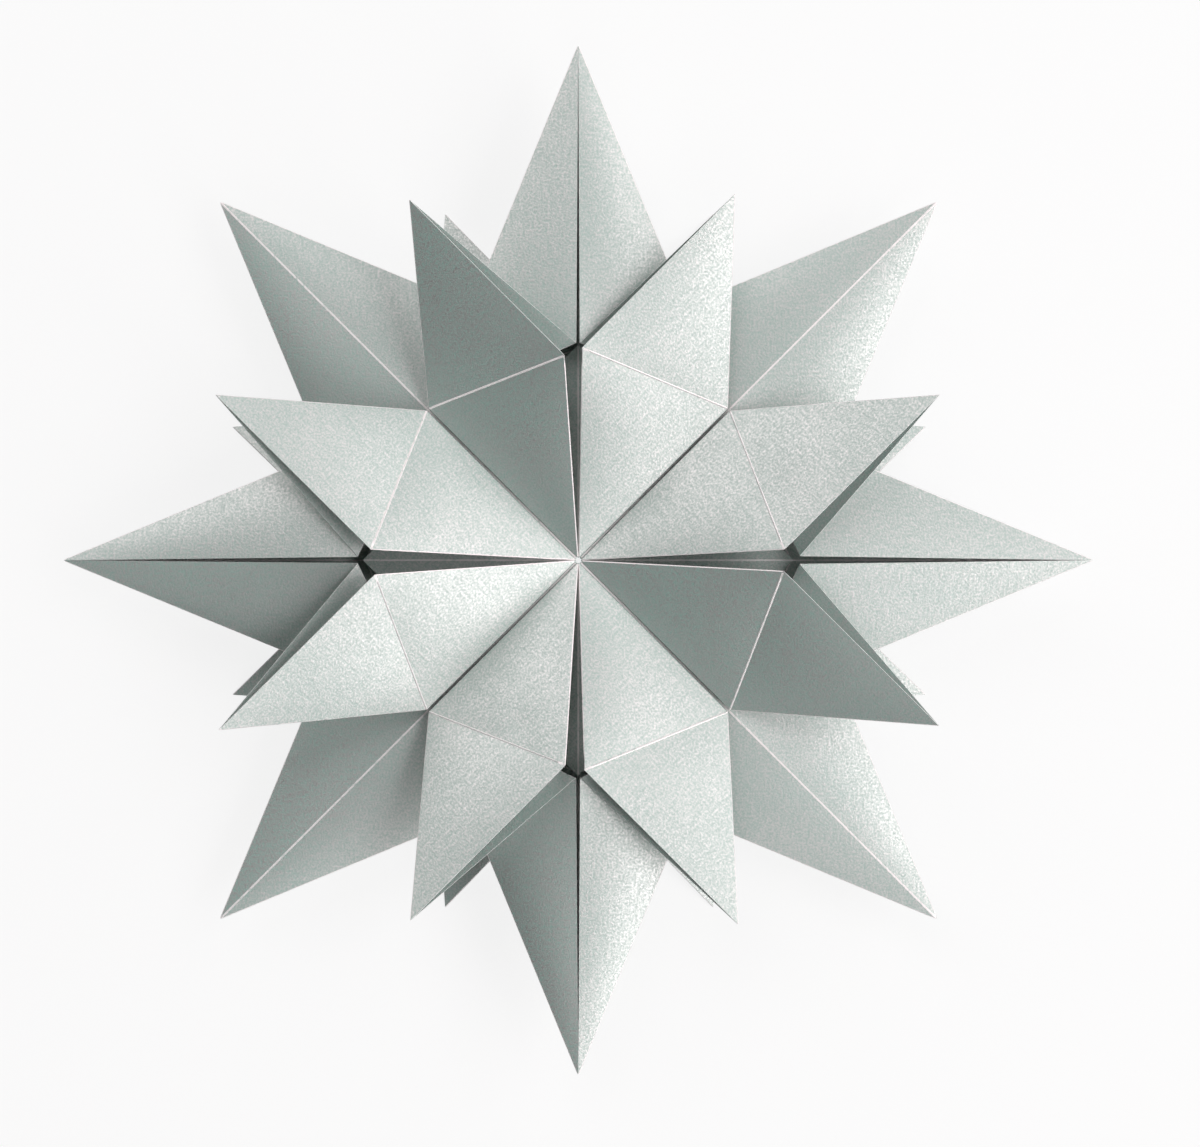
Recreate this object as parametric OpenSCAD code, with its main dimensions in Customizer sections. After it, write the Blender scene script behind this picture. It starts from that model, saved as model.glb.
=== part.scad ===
// Eight-pointed modular origami star, lying on the tips of its back flaps.
//
// The star is eight equal square sheets, folded alike. Four front sheets point along the X and Y
// axes. Four back sheets are the same fold turned over and by 45 degrees. Each sheet has one long
// point, two raised flaps beside it, and its fourth corner tucked in between those flaps.
// All lengths are in millimetres and +Z points from the back of the star to its front.

/* [Sheet] */
// Side of each square sheet before it is folded
sheet_side = 75; // [60:1:150]
// Thickness of the paper
paper_t = 0.16; // [0.1:0.01:0.25]

/* [Front flaps] */
// Opening of the flap anticlockwise of the slit, on the right, top, left and bottom sheets
open_ccw = [28, 31, 33, 23]; // [17:1:36]
// Opening of the flap clockwise of the slit, on the right, top, left and bottom sheets
open_cw = [29, 19, 28, 30]; // [17:1:36]

/* [Back flaps] */
// Opening of every flap on the back, in degrees
open_back = 24; // [17:1:30]

/* [Folds] */
// Drop of a flap's tip below the plane of the flap's inner half, at the cross crease
tip_drop = 0.8; // [0:0.1:2]
// Height between the high and the low rays of the pleated middle layers
pleat_h = 3.1; // [1:0.1:4]
// Angle of the tucked corner's fold from the crease that it lies against, in degrees
tuck_turn = 4; // [3:0.5:6]
// Height of the tucked corner above the star's middle
tuck_h = 2.6; // [2:0.1:3.5]

/* [Long points] */
// Height of a long point's slit above the star's middle, at its inner end
slit_h = 6.0; // [4:0.1:7]
// Width of the slit at its inner end, on the right, top, left and bottom sheets
slit_w_front = [1.1, 0.5, 0.9, 0.6]; // [0.3:0.1:1.5]
// Width of the slit at its inner end, on the back sheets
slit_w_back = 0.7; // [0.3:0.1:1.5]
// Height of a long point's tip above the star's middle
point_h = 2.3; // [1:0.1:3.5]

/* [Assembly] */
// Gap between two sheets where they lie against each other
seam_gap = 0.04; // [0.03:0.01:0.1]

/* [Hidden] */

PAPER = "silver";
// Turn from one unit to the other, which is also the angle between two rays of the middle
RAY_STEP = 45;

// The folds divide the side of the sheet into a leg and a long point's edge of sqrt(2) legs
leg = sheet_side / (1 + sqrt(2));
// Distance across the foot of a flap, from one ray of the middle to the next
chord = 2 * leg * sin(RAY_STEP / 2);
// Plan radius of the middle's rays once their ends alternate in height
ray = sqrt((chord ^ 2 - pleat_h ^ 2) / (2 - 2 * cos(RAY_STEP)));
// A crease stays this far from the plane between two neighbouring sheets
crease_inset = seam_gap / 2;
// The two units lie against each other, each on its own side of the star's middle
unit_rise = (paper_t + seam_gap) / 2;

function unit(v) = v / norm(v);
function polar(r, angle, z) = [r * cos(angle), r * sin(angle), z];

// Corners of one half of a sheet that points along +X. The other half is its mirror image in Y.
centre = [crease_inset / sin(RAY_STEP), 0, 0];
valley = centre + polar(ray, RAY_STEP, pleat_h / 2);
keel = centre + polar(ray, 0, -pleat_h / 2);
point_tip = centre + [sqrt(sheet_side ^ 2 - point_h ^ 2), 0, point_h];
tuck_tip = centre + [sqrt(leg ^ 2 - tuck_h ^ 2), 0, tuck_h];

// Directions on a flap: along its crease, across it in plan, and across it when it is opened
along = unit(valley - centre);
across = polar(1, RAY_STEP - 90, 0);
function opened(open) = cos(open) * across + sin(open) * cross(across, along);

function flap_inner(open) =
    centre + leg * (cos(RAY_STEP) * along + sin(RAY_STEP) * opened(open));
function flap_tip(open) = valley + flap_inner(open) - centre - [0, 0, tip_drop];
function tuck_fold(open) =
    centre + leg * cos(RAY_STEP) * (cos(tuck_turn) * along + sin(tuck_turn) * opened(open / 2));
function slit_end(slit_w) =
    let (y = slit_w / 2,
         reach = chord ^ 2 - (valley.y - y) ^ 2 - (slit_h - valley.z) ^ 2)
    [valley.x + sqrt(reach), y, slit_h];

// One flat panel of paper between three corners, its thickness measured along Z so that panels
// meet along their shared folds without a step
module panel(corners) {
    half = [0, 0, paper_t / 2];
    hull()
        polyhedron(
            points = [for (side = [-1, 1], corner = corners) corner + side * half],
            faces = [[0, 1, 2], [5, 4, 3], [0, 3, 4, 1], [1, 4, 5, 2], [2, 5, 3, 0]]
        );
}

// The panels on one side of a sheet's centre line
module half_sheet(open, slit_w) {
    inner = flap_inner(open);
    tip = flap_tip(open);
    fold = tuck_fold(open);
    slit = slit_end(slit_w);

    // Middle layer, glued to the other unit
    panel([centre, valley, keel]);
    // Flap, creased across between the valley and its inner corner
    panel([centre, valley, inner]);
    panel([tip, valley, inner]);
    // Inside layer of the flap
    panel([tip, valley, slit]);
    // Corner of the sheet tucked in behind the flap
    panel([centre, inner, fold]);
    panel([centre, fold, tuck_tip]);
    // Back and front faces of the long point
    panel([valley, keel, point_tip]);
    panel([valley, slit, point_tip]);
}

// One folded square, pointing along +X, on the front side of the star's middle
module folded_sheet(open_ccw, open_cw, slit_w) {
    translate([0, 0, unit_rise]) {
        half_sheet(open_ccw, slit_w);
        mirror([0, 1, 0]) half_sheet(open_cw, slit_w);
    }
}

// Height of the star's middle above the surface that the tips of the back flaps stand on
middle_h = unit_rise + flap_tip(open_back).z + paper_t / 2;

module front_sheet(place) {
    color(PAPER)
        translate([0, 0, middle_h])
            rotate([0, 0, 2 * RAY_STEP * place])
                folded_sheet(open_ccw[place], open_cw[place], slit_w_front[place]);
}

module back_sheet(place) {
    color(PAPER)
        translate([0, 0, middle_h])
            rotate([0, 0, RAY_STEP + 2 * RAY_STEP * place])
                mirror([0, 0, 1])
                    folded_sheet(open_back, open_back, slit_w_back);
}

module front_sheet_right() { front_sheet(0); }
module front_sheet_top() { front_sheet(1); }
module front_sheet_left() { front_sheet(2); }
module front_sheet_bottom() { front_sheet(3); }
module back_sheet_upper_right() { back_sheet(0); }
module back_sheet_upper_left() { back_sheet(1); }
module back_sheet_lower_left() { back_sheet(2); }
module back_sheet_lower_right() { back_sheet(3); }

front_sheet_right();
front_sheet_top();
front_sheet_left();
front_sheet_bottom();
back_sheet_upper_right();
back_sheet_upper_left();
back_sheet_lower_left();
back_sheet_lower_right();
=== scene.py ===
import math

import bmesh
import bpy
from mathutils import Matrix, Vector


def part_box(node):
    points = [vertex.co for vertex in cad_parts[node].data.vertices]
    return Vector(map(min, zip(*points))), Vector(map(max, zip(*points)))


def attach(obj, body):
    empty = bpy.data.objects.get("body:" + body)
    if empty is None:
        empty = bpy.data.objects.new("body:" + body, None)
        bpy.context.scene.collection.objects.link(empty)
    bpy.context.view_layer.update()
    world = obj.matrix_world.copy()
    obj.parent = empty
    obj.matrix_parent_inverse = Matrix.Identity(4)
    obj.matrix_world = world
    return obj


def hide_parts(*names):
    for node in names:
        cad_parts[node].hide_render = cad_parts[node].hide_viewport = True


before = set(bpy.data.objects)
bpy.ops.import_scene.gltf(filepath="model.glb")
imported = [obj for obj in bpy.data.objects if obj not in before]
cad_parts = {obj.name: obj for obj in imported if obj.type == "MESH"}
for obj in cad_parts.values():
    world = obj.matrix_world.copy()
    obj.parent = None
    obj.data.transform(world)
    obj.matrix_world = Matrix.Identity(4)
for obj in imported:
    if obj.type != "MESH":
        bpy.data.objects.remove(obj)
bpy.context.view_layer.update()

# A star of eight folded squares of pearl paper, lying face up. Each square is a flat sheet that is
# creased by bisecting it and folded by carrying every crease corner to its place in the star.

MM = 0.001

# The sheet and its folds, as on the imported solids
SHEET = 75 * MM
PAPER = 0.16 * MM
SEAM = 0.04 * MM
PLEAT_H = 3.1 * MM
TIP_DROP = 0.8 * MM
TUCK_TURN = math.radians(4)
TUCK_H = 2.6 * MM
SLIT_H = 6.0 * MM
POINT_H = 2.3 * MM
BACK_OPEN = 24
BACK_SLIT = 0.7 * MM

# Node, turn about the star's axis in degrees, opening of its two flaps in degrees, slit width
FRONT_SHEETS = [
    ("front_sheet_right", 0, (28, 29), 1.1 * MM),
    ("front_sheet_top", 90, (31, 19), 0.5 * MM),
    ("front_sheet_left", 180, (33, 28), 0.9 * MM),
    ("front_sheet_bottom", 270, (23, 30), 0.6 * MM),
]
BACK_SHEETS = [
    ("back_sheet_upper_right", 45),
    ("back_sheet_upper_left", 135),
    ("back_sheet_lower_left", 225),
    ("back_sheet_lower_right", 315),
]

RAY_STEP = math.radians(45)
LEG = SHEET / (1 + math.sqrt(2))
HALF_LEG = LEG / math.sqrt(2)
CHORD = 2 * LEG * math.sin(RAY_STEP / 2)
RAY = math.sqrt((CHORD**2 - PLEAT_H**2) / (2 - 2 * math.cos(RAY_STEP)))
# How far a sheet's creases stand off the seam to the next sheet
CREASE_INSET = 1.2 * PAPER
UNIT_RISE = (PAPER + SEAM) / 2
# Air under each seam, between it and the fold of the other unit's sheet that bridges it
SEAM_AIR = 1.0 * MM
# How far the long points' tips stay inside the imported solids' tips
TIP_INSET = 0.1 * MM

# How the paper is worked
CELLS = 20
FOLD_RADIUS = 0.13 * MM
FOLD_STEPS = 2
CROSS_CREASE_RISE = 0.09 * MM
SMOOTH_UNDER = math.radians(25)
# Spots this near to each other, or to a line, count as touching
TOUCHING = 0.01 * MM
# Material slots of a piece
FACE, CUT_EDGE, FOLD = range(3)

# Corners of one half of the crease pattern, on the flat sheet
FLAT = {
    "tip": (0, 0),
    "point": (0, SHEET),
    "tuck": (SHEET, 0),
    "valley": (HALF_LEG, HALF_LEG),
    "inner": (LEG, 0),
    "slit": (0, LEG),
    "centre": (LEG + HALF_LEG, HALF_LEG),
    "fold": (LEG + HALF_LEG, 0),
    "keel": (LEG, math.sqrt(2) * LEG),
}
ON_CENTRE_LINE = ("point", "tuck", "centre", "keel")
# Creases of one half, in an order in which each crosses one panel from border to border
CREASES = [
    ("point", "inner"),
    ("slit", "valley"),
    ("tip", "valley"),
    ("valley", "centre"),
    ("valley", "keel"),
    ("centre", "inner"),
    ("centre", "fold"),
]
# The product of a spot's three shares in a panel, times this, is 1 at the panel's middle
FULL_AT_MIDDLE = 27
# Panels that curve between their creases, and by how much at the middle
BOWED = {
    ("centre", "valley", "inner"): 0.38 * MM,
    ("tip", "valley", "inner"): 0.30 * MM,
    ("valley", "slit", "point"): 0.45 * MM,
    ("valley", "keel", "point"): -0.35 * MM,
    ("tip", "valley", "slit"): -0.12 * MM,
}
# A dent fades towards the creases, and has its full depth where every share is over 1 / DENT_FADE
DENT_FADE = 12
# Soft dents from handling: sheet, whether on its mirrored half, panel, shares of the panel's corners,
# radius and depth
DENTS = [
    ("front_sheet_right", False, ("centre", "valley", "inner"), (0.23, 0.70, 0.07), 3 * MM, 0.15 * MM),
    ("front_sheet_right", False, ("tip", "valley", "inner"), (0.08, 0.34, 0.58), 3.5 * MM, 0.14 * MM),
    ("front_sheet_bottom", True, ("centre", "valley", "inner"), (0.10, 0.32, 0.58), 1.8 * MM, 0.12 * MM),
]


# ---------------------------------------------------------------- folded places


def polar(radius, angle, height):
    return Vector((radius * math.cos(angle), radius * math.sin(angle), height))


def folded_half(opening, slit_width):
    """Places of one half's corners on a folded sheet that points along +X."""
    opening = math.radians(opening)
    centre = Vector((CREASE_INSET / math.sin(RAY_STEP), 0, 0))
    valley = centre + polar(RAY, RAY_STEP, PLEAT_H / 2)
    along = (valley - centre).normalized()
    across = polar(1, RAY_STEP - math.pi / 2, 0)
    upward = across.cross(along)

    def opened(angle):
        return across * math.cos(angle) + upward * math.sin(angle)

    inner = centre + HALF_LEG * (along + opened(opening))
    fold_way = along * math.cos(TUCK_TURN) + opened(opening / 2) * math.sin(TUCK_TURN)
    slit_y = slit_width / 2
    reach = math.sqrt(CHORD**2 - (valley.y - slit_y) ** 2 - (SLIT_H - valley.z) ** 2)
    point_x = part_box("front_sheet_right")[1].x - TIP_INSET
    return {
        "centre": centre,
        "valley": valley,
        "keel": centre + polar(RAY, 0, SEAM_AIR - PLEAT_H / 2),
        "point": Vector((point_x, 0, POINT_H)),
        "tuck": centre + Vector((math.sqrt(LEG**2 - TUCK_H**2), 0, TUCK_H)),
        "inner": inner,
        "tip": valley + inner - centre - Vector((0, 0, TIP_DROP)),
        "fold": centre + HALF_LEG * fold_way,
        "slit": Vector((valley.x + reach, slit_y, SLIT_H)),
    }


MIDDLE = UNIT_RISE + folded_half(BACK_OPEN, BACK_SLIT)["tip"].z + PAPER / 2


def placed(spot, mirrored, turn, side):
    """A corner's place in the star: side is 1 on the front unit and -1 on the back unit."""
    y = -spot.y if mirrored else spot.y
    turn = math.radians(turn)
    return Vector((
        spot.x * math.cos(turn) - y * math.sin(turn),
        spot.x * math.sin(turn) + y * math.cos(turn),
        MIDDLE + side * (spot.z + UNIT_RISE),
    ))


def flat_spot(name, mirrored):
    """A corner's place on the flat sheet. The mirror line runs from the long point to the tuck."""
    x, y = FLAT[name]
    return Vector((SHEET - y, SHEET - x, 0)) if mirrored else Vector((x, y, 0))


# ---------------------------------------------------------------- paper work


def edit(piece):
    bpy.ops.object.select_all(action="DESELECT")
    piece.select_set(True)
    bpy.context.view_layer.objects.active = piece
    bpy.ops.object.mode_set(mode="EDIT")
    bpy.ops.mesh.select_mode(type="VERT")
    bpy.ops.mesh.select_all(action="DESELECT")
    return bmesh.from_edit_mesh(piece.data)


def object_mode():
    bpy.ops.object.mode_set(mode="OBJECT")


def select_panel(piece, spot):
    """Selects the one flat panel that the spot lies on."""
    mesh = bmesh.from_edit_mesh(piece.data)
    bpy.ops.mesh.select_all(action="DESELECT")
    for face in mesh.faces:
        ring = [v.co for v in face.verts]
        turns = [(b - a).cross(spot - a).z for a, b in zip(ring, ring[1:] + ring[:1])]
        if min(turns) > 0 or max(turns) < 0:
            face.select_set(True)
            bmesh.update_edit_mesh(piece.data)
            return
    raise RuntimeError("a crease has no panel under it")


def crease(piece, start, end):
    """Creases the flat sheet from one spot to another, across the panel between them."""
    select_panel(piece, (start + end) / 2)
    run = end - start
    bpy.ops.mesh.bisect(plane_co=start, plane_no=(run.y, -run.x, 0), threshold=TOUCHING)


def crease_all(piece):
    edit(piece)
    crease(piece, flat_spot("point", False), flat_spot("tuck", False))
    for mirrored in (False, True):
        for start, end in CREASES:
            crease(piece, flat_spot(start, mirrored), flat_spot(end, mirrored))
    bpy.ops.mesh.select_all(action="SELECT")
    bpy.ops.mesh.mark_sharp()
    object_mode()


def corner_numbers(piece, corners):
    """The mesh corner at each named spot of the flat sheet."""
    found = {}
    for key, spot in corners.items():
        found[key] = min(piece.data.vertices, key=lambda v: (v.co - spot).length).index
    return found


def fold_up(piece, halves, turn, side):
    """Carries every corner of the creased sheet to its folded place."""
    corners = {}
    for mirrored in (False, True):
        for name in FLAT:
            if not (mirrored and name in ON_CENTRE_LINE):
                corners[name, mirrored] = flat_spot(name, mirrored)
    numbers = corner_numbers(piece, corners)
    edit(piece)
    for (name, mirrored), number in numbers.items():
        bpy.ops.mesh.select_all(action="DESELECT")
        mesh = bmesh.from_edit_mesh(piece.data)
        mesh.verts.ensure_lookup_table()
        mesh.verts[number].select_set(True)
        bmesh.update_edit_mesh(piece.data)
        goal = placed(halves[mirrored][name], mirrored, turn, side)
        bpy.ops.transform.translate(value=goal - mesh.verts[number].co)
    object_mode()


def shares(spot, a, b, c):
    """Barycentric shares of a flat spot in the flat triangle a, b, c."""
    whole = (b - a).cross(c - a).z
    at_b = (spot - a).cross(c - a).z / whole
    at_c = (b - a).cross(spot - a).z / whole
    return 1 - at_b - at_c, at_b, at_c


def flat_spots(piece):
    """Where each mesh corner lies on the flat sheet."""
    spots = {}
    for loop in piece.data.loops:
        u, v = piece.data.uv_layers.active.data[loop.index].uv
        spots[loop.vertex_index] = Vector((u * SHEET, v * SHEET, 0))
    return spots


def outward_from(goals, side):
    """The way out of a folded panel, away from the star's middle."""
    normal = (goals[1] - goals[0]).cross(goals[2] - goals[0]).normalized()
    return normal if normal.z * side > 0 else -normal


def bow_panels(piece, halves, turn, side):
    """Lets each panel curve a little between its creases, which stay straight."""
    spots = flat_spots(piece)
    for mirrored in (False, True):
        for names, bow in BOWED.items():
            corners = [flat_spot(name, mirrored) for name in names]
            goals = [placed(halves[mirrored][name], mirrored, turn, side) for name in names]
            outward = outward_from(goals, side)
            for number, spot in spots.items():
                part = shares(spot, *corners)
                if min(part) > 0:
                    lift = FULL_AT_MIDDLE * part[0] * part[1] * part[2] * bow
                    piece.data.vertices[number].co += outward * lift


def dent_panels(piece, node, halves, turn, side):
    """Presses the soft dents into a sheet, each within its own panel."""
    spots = flat_spots(piece)
    for owner, mirrored, names, place, radius, depth in DENTS:
        if owner != node:
            continue
        corners = [flat_spot(name, mirrored) for name in names]
        goals = [placed(halves[mirrored][name], mirrored, turn, side) for name in names]
        inward = -outward_from(goals, side)
        middle = sum((c * share for c, share in zip(corners, place)), Vector((0, 0, 0)))
        for number, spot in spots.items():
            part = shares(spot, *corners)
            if min(part) > 0:
                fade = min(1, DENT_FADE * min(part))
                press = depth * fade * math.exp(-((spot - middle).length / radius) ** 2)
                piece.data.vertices[number].co += inward * press


def round_folds(piece):
    """Gives every fold the small radius that creased paper keeps, and its pale finish: worn fibre that
    is also a painted highlight.
    """
    mesh = edit(piece)
    bpy.ops.mesh.select_mode(type="EDGE")
    for edge in mesh.edges:
        edge.select_set(not edge.smooth and not edge.is_boundary)
    bmesh.update_edit_mesh(piece.data)
    bpy.ops.mesh.bevel(
        offset=FOLD_RADIUS, segments=FOLD_STEPS, affect="EDGES", clamp_overlap=True, material=FOLD
    )
    object_mode()


def keep_seams_plain(piece, halves, turn, side):
    """Takes the pale fold finish, worn fibre with a painted highlight, off the creases between two
    sheets.
    """
    for mirrored in (False, True):
        centre, valley = (
            placed(halves[mirrored][name], mirrored, turn, side) for name in ("centre", "valley")
        )
        run = (valley - centre).normalized()
        for face in piece.data.polygons:
            off = face.center - centre
            if (off - run * off.dot(run)).length < 2 * FOLD_RADIUS:
                face.material_index = FACE


def raise_cross_creases(piece, halves, turn, side):
    """Leaves the low ridge of a crease that was folded and opened again across each flap."""
    for mirrored in (False, True):
        names = ("valley", "inner", "tip")
        valley, inner, tip = (
            placed(halves[mirrored][name], mirrored, turn, side) for name in names
        )
        run = (inner - valley).normalized()
        mesh = edit(piece)
        for corner in mesh.verts:
            along = (corner.co - valley).dot(run)
            off = (corner.co - valley - run * along).length
            inside = FOLD_RADIUS < along < (inner - valley).length - FOLD_RADIUS
            corner.select_set(inside and off < TOUCHING)
        bmesh.update_edit_mesh(piece.data)
        rise = outward_from((valley, inner, tip), side) * CROSS_CREASE_RISE
        bpy.ops.transform.translate(value=rise)
        object_mode()


def thicken(piece):
    wall = piece.modifiers.new("paper", "SOLIDIFY")
    wall.thickness = PAPER
    wall.offset = 0
    wall.use_rim = True
    wall.material_offset_rim = CUT_EDGE - FACE
    bpy.ops.object.modifier_apply(modifier=wall.name)


def folded_sheet(node, turn, side, openings, slit_width, finishes):
    """One folded square of paper, which stands for the CAD node of the same name."""
    bpy.ops.object.select_all(action="DESELECT")
    bpy.ops.mesh.primitive_plane_add(size=SHEET, location=(SHEET / 2, SHEET / 2, 0))
    piece = bpy.context.active_object
    bpy.ops.object.transform_apply(location=True, rotation=True, scale=True)
    piece.name = node.replace("sheet", "folded_sheet")
    piece.data.name = piece.name
    for finish in finishes:
        piece.data.materials.append(finish)
    halves = [folded_half(opening, slit_width) for opening in openings]
    crease_all(piece)
    fold_up(piece, halves, turn, side)
    edit(piece)
    bpy.ops.mesh.select_all(action="SELECT")
    bpy.ops.mesh.subdivide(number_cuts=CELLS - 1)
    object_mode()
    bow_panels(piece, halves, turn, side)
    dent_panels(piece, node, halves, turn, side)
    round_folds(piece)
    keep_seams_plain(piece, halves, turn, side)
    raise_cross_creases(piece, halves, turn, side)
    thicken(piece)
    bpy.ops.object.shade_smooth_by_angle(angle=SMOOTH_UNDER)
    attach(piece, "root")
    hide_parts(node)
    return piece


# ---------------------------------------------------------------- finishes


class Value:
    """A socket that can be used in Python sums."""

    def __init__(self, shader, socket):
        self.shader = shader
        self.socket = socket

    def math(self, operation, *others):
        return self.shader.math(operation, self, *others)

    def __add__(self, other):
        return self.math("ADD", other)

    def __sub__(self, other):
        return self.math("SUBTRACT", other)

    def __mul__(self, other):
        return self.math("MULTIPLY", other)

    def __rsub__(self, other):
        return self.shader.math("SUBTRACT", other, self)

    __radd__ = __add__


class Shader:
    """The node tree of a material or of the world."""

    def __init__(self, owner):
        owner.use_nodes = True
        self.owner = owner
        self.tree = owner.node_tree
        self.tree.nodes.clear()

    def node(self, kind, settings=None, output=0, **inputs):
        """Adds a node, sets it, fills its sockets by name or number and returns one output."""
        made = self.tree.nodes.new("ShaderNode" + kind)
        for key, value in (settings or {}).items():
            setattr(made, key, value)
        for key, value in inputs.items():
            socket = made.inputs[int(key[1:])] if key[0] == "_" else made.inputs[key.replace("_", " ")]
            if isinstance(value, Value):
                self.tree.links.new(value.socket, socket)
            else:
                socket.default_value = value
        return Value(self, made.outputs[output]) if made.outputs else made

    def math(self, operation, *terms):
        inputs = {f"_{i}": term for i, term in enumerate(terms)}
        return self.node("Math", {"operation": operation}, **inputs)

    def surface(self, shader, output="OutputMaterial"):
        """Joins the finished shader to the output and returns what it dresses."""
        self.node(output, Surface=shader)
        return self.owner


def paper_place(shader, turn, shift, scale):
    """The sheet's own surface in millimetres, turned, moved and stretched for one pattern."""
    surface = shader.node("TexCoord", output="UV")
    across = SHEET / MM
    return shader.node(
        "Mapping",
        Vector=surface,
        Location=(shift, 0.7 * shift, 0),
        Rotation=(0, 0, turn),
        Scale=(across * scale[0], across * scale[1], 1),
    )


# The paper's grey green base, its pale pearl flakes, their rosy sheen, and the pale fibre of a worn fold
# that also stands as a painted highlight along every fold
PAPER_BASE = (0.205, 0.43, 0.37, 1)
PEARL_FLAKE = (0.88, 0.78, 0.79, 1)
PEARL_SHEEN = (1.0, 0.79, 0.815, 1)
WORN_FIBRE_AND_PAINTED_HIGHLIGHT = (0.93, 0.93, 0.92, 1)
# The pearl coat shines more than plain paper does
PEARL_IOR = 2.2
# How much of a fold shows the worn fibre with its painted highlight
FOLD_WEAR_AND_PAINTED_HIGHLIGHT = 0.95
GRAIN_HEIGHT = 0.05 * MM
# Patterns to the millimetre, and how far the patterns of two sheets lie apart
GRAIN_PER_MM = 3.0
FIBRES_PER_MM = 1.9
CLOUDS_PER_MM = 0.07
PATTERN_STEP = 31.7
# The pale core of the cut edge, from one fibre to the next
EDGE_DULL = (0.66, 0.69, 0.67, 1)
EDGE_PALE = (0.86, 0.87, 0.86, 1)


def pearl_paper(name, number, wear_and_highlight=0):
    """Pearl silver paper: pale flakes on a grey green base, with a fine pressed grain."""
    shader = Shader(bpy.data.materials.new(f"{name}_{number}"))
    shift = PATTERN_STEP * number
    plain = paper_place(shader, 0, shift, (1, 1))
    drawn = paper_place(shader, math.radians(45), shift, (1, 0.25))
    grain = shader.node("TexNoise", Vector=plain, Scale=GRAIN_PER_MM, Detail=2, Roughness=0.6)
    fibres = shader.node("TexNoise", Vector=drawn, Scale=FIBRES_PER_MM, Detail=2)
    clouds = shader.node("TexNoise", Vector=plain, Scale=CLOUDS_PER_MM, Detail=2)
    mottle = grain * 0.75 + fibres * 0.25
    flakes = shader.node(
        "MapRange",
        {"interpolation_type": "SMOOTHSTEP"},
        Value=mottle + (clouds - 0.5) * 0.12,
        From_Min=0.28,
        From_Max=0.72,
    )
    colour = shader.node(
        "Mix", {"data_type": "RGBA"}, output=2, _0=flakes * 0.7, _6=PAPER_BASE, _7=PEARL_FLAKE
    )
    metallic = flakes * 0.72
    # Folds get pale worn fibre that is also a painted highlight along each fold, with less metal shine
    # there
    if wear_and_highlight:
        rubbed_and_highlit = shader.node(
            "MapRange", {"interpolation_type": "SMOOTHSTEP"}, Value=fibres, From_Min=0.1, From_Max=0.5
        )
        rubbed_and_highlit = rubbed_and_highlit * wear_and_highlight
        colour = shader.node(
            "Mix", {"data_type": "RGBA"}, output=2, _0=rubbed_and_highlit, _6=colour, _7=WORN_FIBRE_AND_PAINTED_HIGHLIGHT
        )
        metallic = metallic * (1 - rubbed_and_highlit)
    pressed = shader.node("Bump", Height=mottle, Strength=0.75, Distance=GRAIN_HEIGHT)
    paper = shader.node(
        "BsdfPrincipled",
        Base_Color=colour,
        Metallic=metallic,
        Roughness=0.52 - flakes * 0.1,
        IOR=PEARL_IOR,
        Specular_IOR_Level=1.0,
        Specular_Tint=PEARL_SHEEN,
        Normal=pressed,
    )
    return shader.surface(paper)


def cut_edge():
    """The paler core of the paper, where the knife went through it."""
    shader = Shader(bpy.data.materials.new("paper_cut_edge"))
    place = paper_place(shader, 0, 0, (1, 1))
    fibres = shader.node("TexNoise", Vector=place, Scale=GRAIN_PER_MM, Detail=2)
    colour = shader.node(
        "Mix",
        {"data_type": "RGBA"},
        output=2,
        _0=fibres,
        _6=EDGE_DULL,
        _7=EDGE_PALE,
    )
    return shader.surface(shader.node("BsdfPrincipled", Base_Color=colour, Roughness=0.8))


# How white the floor and the backdrop show, and how much the backdrop lights the star
FLOOR_WHITE = 0.82
BACKDROP_WHITE = 0.84
BACKDROP_LIGHT = 0.03
FLOOR_COLOUR = (0.86, 0.86, 0.86, 1)
BACKDROP_COLOUR = (0.97, 1, 0.985, 1)
WHITE = (1, 1, 1, 1)


def backdrop():
    """A pale surround that the lens sees as white and that adds hardly any light."""
    shader = Shader(bpy.data.worlds.new("studio"))
    seen = shader.node("LightPath", output="Is Camera Ray")
    strength = BACKDROP_LIGHT + seen * (BACKDROP_WHITE - BACKDROP_LIGHT)
    glow = shader.node("Background", Color=BACKDROP_COLOUR, Strength=strength)
    return shader.surface(glow, output="OutputWorld")


def pale_floor():
    """A white table top that shows as white and still takes the star's shadow."""
    shader = Shader(bpy.data.materials.new("pale_floor"))
    shade = shader.node("BsdfDiffuse", Color=FLOOR_COLOUR)
    glow = shader.node("Emission", Color=WHITE, Strength=1.0)
    camera = shader.node("LightPath", output="Is Camera Ray")
    glossy = shader.node("LightPath", output="Is Glossy Ray")
    seen = camera.math("MAXIMUM", glossy) * FLOOR_WHITE
    return shader.surface(shader.node("MixShader", _0=seen, _1=shade, _2=glow))


# ---------------------------------------------------------------- studio

# Distance of the lens above the star's middle, and the width of table that the frame takes in
LENS_HEIGHT = 10 * LEG
FRAME_WIDTH = 5.65 * LEG
SENSOR = 36
# The star lies a little left of and above the middle of the frame
OFF_CENTRE = Vector((0.018 * FRAME_WIDTH, -0.011 * FRAME_WIDTH, 0))
# Where each softbox stands: compass turn and height in degrees, and its power in watts
SOFTBOXES = [
    ("key_lower_right", 320, 25, 3.2),
    ("key_right_high", 340, 50, 3.0),
    ("key_upper_right", 45, 25, 2.3),
    ("fill_right_high", 20, 50, 2.4),
    ("fill_top_high", 110, 50, 2.0),
    ("fill_upper_left", 135, 25, 2.4),
    ("fill_bottom_high", 270, 50, 1.2),
]
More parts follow.
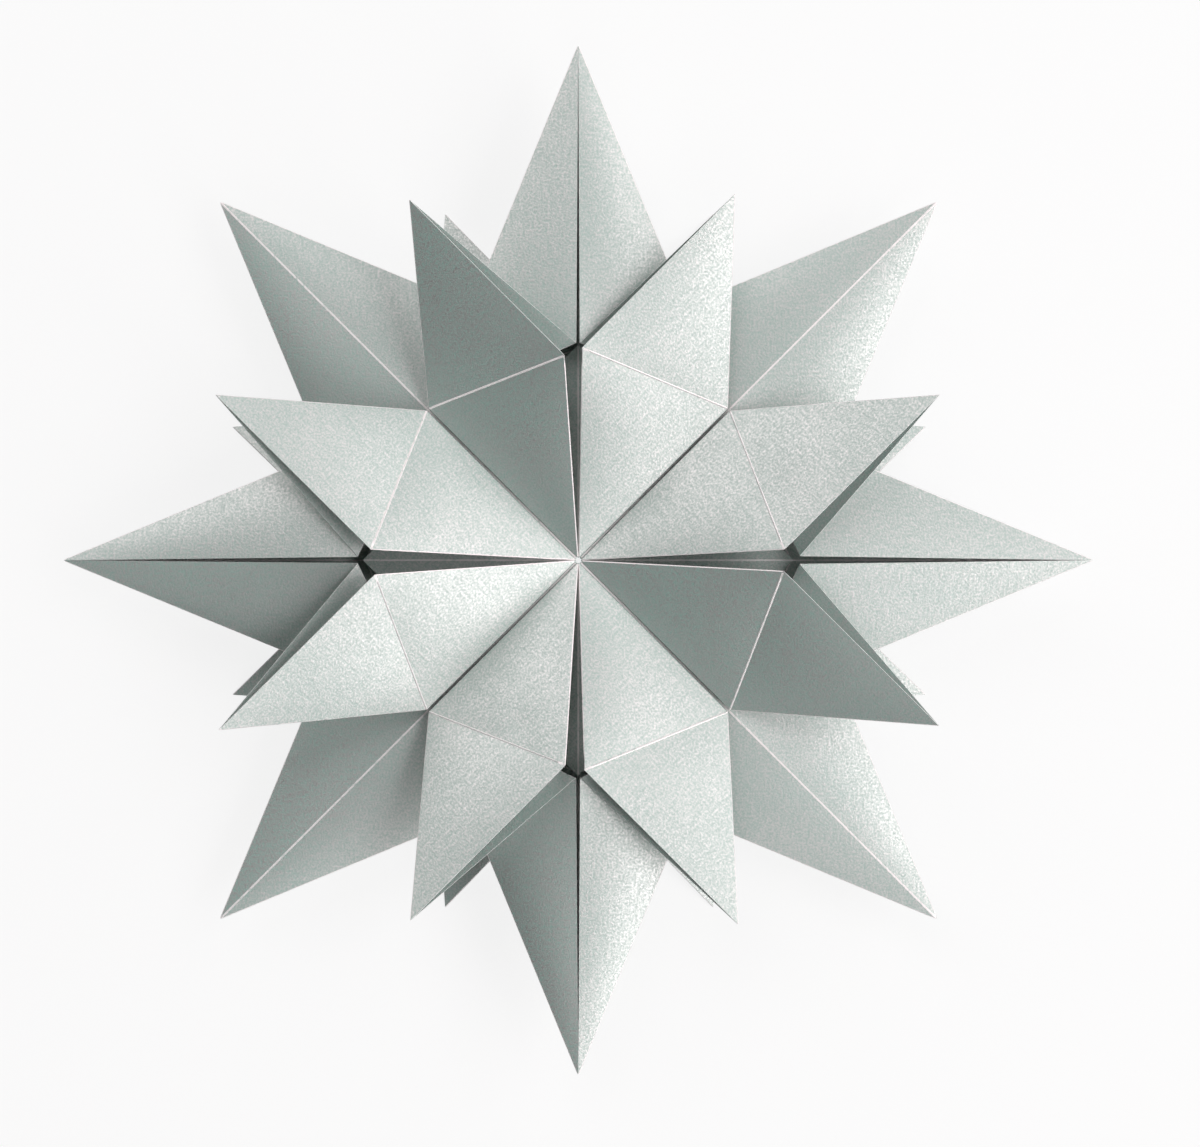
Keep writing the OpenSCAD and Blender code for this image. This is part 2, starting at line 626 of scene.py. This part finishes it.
# Distance of the softboxes from the star, their side, and the side of the table, in metres
SOFTBOX_REACH = 1.0
SOFTBOX_SIDE = 0.5
TABLE_SIDE = 60
LAMP_COLOUR = (1.0, 0.975, 0.98)


def camera():
    data = bpy.data.cameras.new("camera")
    data.sensor_width = SENSOR
    data.lens = SENSOR * LENS_HEIGHT / FRAME_WIDTH
    data.clip_start = 0.01
    eye = bpy.data.objects.new("camera", data)
    eye.location = OFF_CENTRE + Vector((0, 0, MIDDLE + LENS_HEIGHT))
    bpy.context.scene.collection.objects.link(eye)
    bpy.context.scene.camera = eye


def softbox(name, turn, height, power):
    """A square lamp that faces the star from a compass turn and a height, both in degrees."""
    data = bpy.data.lights.new(name, "AREA")
    data.shape = "SQUARE"
    data.size = SOFTBOX_SIDE
    data.energy = power
    data.color = LAMP_COLOUR
    lamp = bpy.data.objects.new(name, data)
    turn, height = math.radians(turn), math.radians(height)
    way = Vector((
        math.cos(height) * math.cos(turn),
        math.cos(height) * math.sin(turn),
        math.sin(height),
    ))
    lamp.location = way * SOFTBOX_REACH
    lamp.rotation_euler = way.to_track_quat("Z", "Y").to_euler()
    bpy.context.scene.collection.objects.link(lamp)


def studio():
    bpy.context.scene.world = backdrop()
    for name, turn, height, power in SOFTBOXES:
        softbox(name, turn, height, power)
    bpy.context.scene.view_settings.view_transform = "Standard"


def table_top():
    bpy.ops.object.select_all(action="DESELECT")
    bpy.ops.mesh.primitive_plane_add(size=TABLE_SIDE, location=(0, 0, 0))
    top = bpy.context.active_object
    top.name = "table_top"
    top.data.materials.append(pale_floor())


def star():
    """The eight folded sheets, each with its own cut of the same paper."""
    edge = cut_edge()
    rows = [(node, turn, 1, openings, slit) for node, turn, openings, slit in FRONT_SHEETS]
    rows += [(node, turn, -1, (BACK_OPEN, BACK_OPEN), BACK_SLIT) for node, turn in BACK_SHEETS]
    for number, row in enumerate(rows):
        paper = pearl_paper("pearl_paper", number)
        # The fold finish: wear and a painted highlight along every fold
        worn_and_highlit = pearl_paper("pearl_fold_wear_and_highlight", number, wear_and_highlight=FOLD_WEAR_AND_PAINTED_HIGHLIGHT)
        folded_sheet(*row, (paper, edge, worn_and_highlit))


camera()
studio()
table_top()
star()
